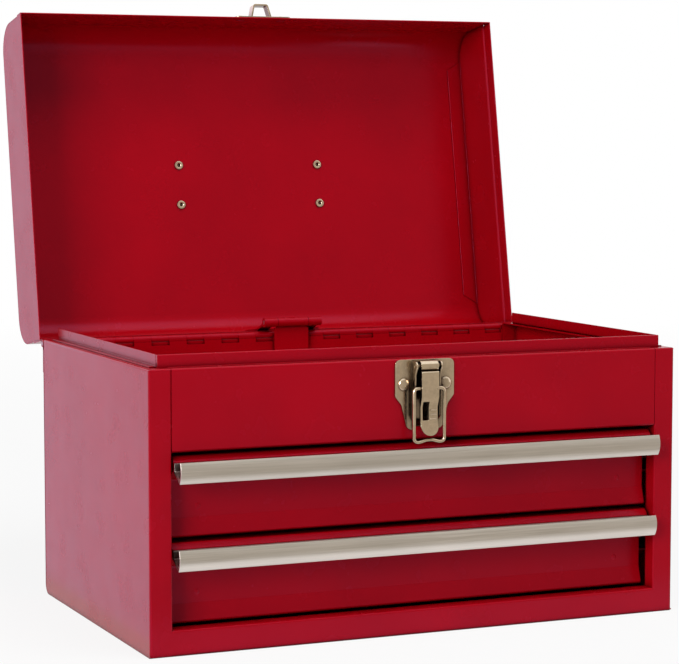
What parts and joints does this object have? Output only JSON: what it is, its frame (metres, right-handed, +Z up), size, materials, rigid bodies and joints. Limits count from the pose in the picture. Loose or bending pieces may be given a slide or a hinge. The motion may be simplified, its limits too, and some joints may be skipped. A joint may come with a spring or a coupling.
{
  "type": "portable tool box with drawers",
  "caption": "Carry-size folded sheet-steel tool box: hinged lid over a top well, drawers with full-width pulls below, a draw latch in front and a carry handle on the lid.",
  "frame": {"origin": "centre of the case's bottom face, which stands on the floor", "axes": "+X to the right as seen from the front, +Y to the rear, +Z up; the drawers and the latch are at -Y"},
  "size_m": [0.369, 0.334, 0.4138],
  "materials": {
    "red_paint": "gloss red enamel on folded sheet steel",
    "zinc": "bright zinc-plated steel",
    "nickel": "nickel-plated steel",
    "aluminium": "satin extruded aluminium",
    "black_plastic": "matt black moulded grip"
  },
  "bodies": {
    "case": {"side_panel_left": "red_paint", "side_panel_right": "red_paint", "case_wrap": "red_paint", "front_panel": "red_paint", "side_lip_left": "red_paint", "side_lip_right": "red_paint", "well_floor": "red_paint", "slide_rail_upper_left": "zinc", "slide_rail_upper_right": "zinc", "slide_rail_lower_left": "zinc", "slide_rail_lower_right": "zinc", "hinge_leaf_case": "red_paint", "hinge_pin": "zinc", "lock_guide": "zinc", "latch_plate": "nickel", "latch_rivets": "nickel", "latch_pin": "nickel"},
    "lid": {"hinge_leaf_lid": "red_paint", "lid_pan": "red_paint", "lid_end_left": "red_paint", "lid_end_right": "red_paint", "lock_bracket": "red_paint", "lock_pin": "zinc", "catch_plate": "nickel", "catch_rivets": "nickel", "handle_mount_left": "zinc", "handle_mount_right": "zinc", "handle_rivets": "nickel"},
    "lock_bar": {"lock_bar": "red_paint"},
    "drawer_upper": {"drawer_box_upper": "red_paint", "drawer_front_upper": "red_paint", "drawer_pull_upper": "aluminium", "drawer_catch_upper": "zinc", "slide_runner_upper_left": "zinc", "slide_runner_upper_right": "zinc"},
    "drawer_lower": {"drawer_box_lower": "red_paint", "drawer_front_lower": "red_paint", "drawer_pull_lower": "aluminium", "drawer_catch_lower": "zinc", "slide_runner_lower_left": "zinc", "slide_runner_lower_right": "zinc"},
    "latch_lever": {"latch_lever": "nickel"},
    "latch_loop": {"latch_loop": "nickel"},
    "handle": {"handle_bail": "zinc", "handle_grip": "black_plastic"}
  },
  "joints": [
    {"name": "lid_hinge", "type": "hinge", "parent": "case", "child": "lid", "pos_m": [0, 0.1158, 0.1743], "axis": [1, 0, 0], "range_deg": [0, 100]},
    {"name": "upper_drawer_slide", "type": "slide", "parent": "case", "child": "drawer_upper", "axis": [0, -1, 0], "range_m": [-0.003, 0.137]},
    {"name": "lower_drawer_slide", "type": "slide", "parent": "case", "child": "drawer_lower", "axis": [0, -1, 0], "range_m": [0, 0.14]},
    {"name": "latch_lever_pivot", "type": "hinge", "parent": "case", "child": "latch_lever", "pos_m": [0, -0.119, 0.1731], "axis": [1, 0, 0], "range_deg": [-140, 0]},
    {"name": "latch_loop_pivot", "type": "hinge", "parent": "latch_lever", "child": "latch_loop", "pos_m": [0, -0.1208, 0.159], "axis": [-1, 0, 0], "range_deg": [0, 180]},
    {"name": "handle_pivot", "type": "hinge", "parent": "lid", "child": "handle", "pos_m": [0, 0.20023, 0.27938], "axis": [1, 0, 0], "range_deg": [-8.5, 168]},
    {"name": "lock_bar_pivot", "type": "hinge", "parent": "lid", "child": "lock_bar", "pos_m": [0, 0.1083, 0.184], "axis": [1, 0, 0], "range_deg": [-100, 0]}
  ],
  "couplings": [
    {"joint": "lock_bar_pivot", "follows": "lid_hinge", "ratio": -1}
  ]
}
